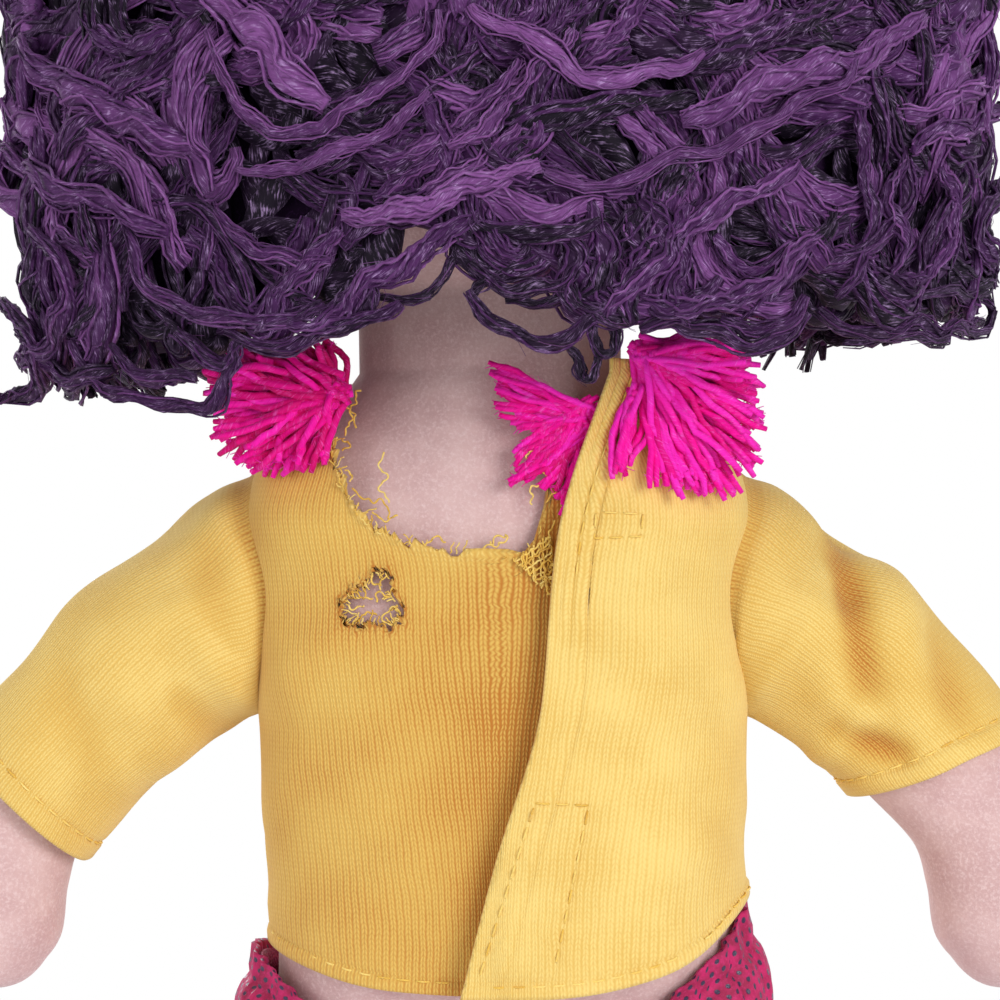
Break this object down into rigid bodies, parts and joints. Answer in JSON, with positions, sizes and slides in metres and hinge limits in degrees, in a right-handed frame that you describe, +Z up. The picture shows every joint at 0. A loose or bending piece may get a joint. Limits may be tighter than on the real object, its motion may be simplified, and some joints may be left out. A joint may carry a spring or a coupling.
{
  "type": "rag doll",
  "caption": "Soft cloth rag doll with curly plum yarn hair, a worn yellow jersey shirt closed at the back by hook-and-loop tape, pink yarn tufts and shiny magenta trousers.",
  "frame": {"origin": "centre of the object's box, on the ground under the soles", "axes": "+Z up, the face looks along -Y, the doll's left side is +X"},
  "size_m": [0.1622, 0.0864, 0.3225],
  "materials": {
    "skin": "short-nap velour, matt",
    "stuffing": "loose polyester fibre",
    "jersey": "worn knitted jersey, matt",
    "tape": "hook-and-loop tape",
    "yarn_pink": "loose plied yarn",
    "velour": "crushed velour with foil dots",
    "elastic": "woven elastic",
    "hair": "brushed curly yarn",
    "thread_dark": "satin stitch",
    "thread_rose": "satin stitch",
    "shoe": "felt",
    "sole": "felted sole, matt"
  },
  "bodies": {
    "torso": {"torso_skin": "skin", "torso_stuffing": "stuffing", "shirt_front": "jersey", "shirt_back_left": "jersey", "shirt_back_right": "jersey", "loop_tape_upper": "tape", "loop_tape_lower": "tape", "tassel_left": "yarn_pink", "tassel_right": "yarn_pink", "tassel_under": "yarn_pink", "trouser_seat": "velour", "waist_elastic": "elastic"},
    "flap": {"back_flap": "jersey", "hook_tape_upper": "tape", "hook_tape_lower": "tape"},
    "head": {"head_skin": "skin", "head_stuffing": "stuffing", "wig_cap": "hair", "eye_left": "thread_dark", "eye_right": "thread_dark", "nose": "thread_rose", "mouth": "thread_rose", "hair_lock_1": "hair", "hair_lock_2": "hair", "hair_lock_3": "hair", "hair_lock_4": "hair", "hair_lock_5": "hair", "hair_lock_6": "hair", "hair_lock_7": "hair", "hair_lock_8": "hair", "hair_upper_1": "hair", "hair_upper_2": "hair", "hair_upper_3": "hair", "hair_upper_4": "hair", "hair_upper_5": "hair", "hair_upper_6": "hair", "hair_crown": "hair"},
    "arm_left": {"arm_skin_left": "skin", "arm_stuffing_left": "stuffing", "sleeve_left": "jersey"},
    "arm_right": {"arm_skin_right": "skin", "arm_stuffing_right": "stuffing", "sleeve_right": "jersey"},
    "leg_left": {"leg_skin_left": "skin", "leg_stuffing_left": "stuffing", "trouser_leg_left": "velour", "shoe_upper_left": "shoe", "shoe_sole_left": "sole"},
    "leg_right": {"leg_skin_right": "skin", "leg_stuffing_right": "stuffing", "trouser_leg_right": "velour", "shoe_upper_right": "shoe", "shoe_sole_right": "sole"}
  },
  "joints": [
    {"name": "head_turn", "type": "hinge", "parent": "torso", "child": "head", "pos_m": [0, 0, 0.214], "axis": [0, 0, 1], "range_deg": [-40, 40], "stiffness_Nm_per_rad": 0.02},
    {"name": "back_flap_open", "type": "hinge", "parent": "torso", "child": "flap", "pos_m": [-0.0205, 0.01986, 0.1355], "axis": [0.0462, -0.01, 0.9989], "range_deg": [0, 90]},
    {"name": "shoulder_left", "type": "hinge", "parent": "torso", "child": "arm_left", "pos_m": [0.0323, 0, 0.186], "axis": [-1, 0, 0], "range_deg": [-60, 90]},
    {"name": "shoulder_right", "type": "hinge", "parent": "torso", "child": "arm_right", "pos_m": [-0.0323, 0, 0.186], "axis": [-1, 0, 0], "range_deg": [-60, 90]},
    {"name": "hip_left", "type": "hinge", "parent": "torso", "child": "leg_left", "pos_m": [0.0165, 0, 0.116], "axis": [-1, 0, 0], "range_deg": [-60, 90]},
    {"name": "hip_right", "type": "hinge", "parent": "torso", "child": "leg_right", "pos_m": [-0.0165, 0, 0.116], "axis": [-1, 0, 0], "range_deg": [-60, 90]}
  ]
}
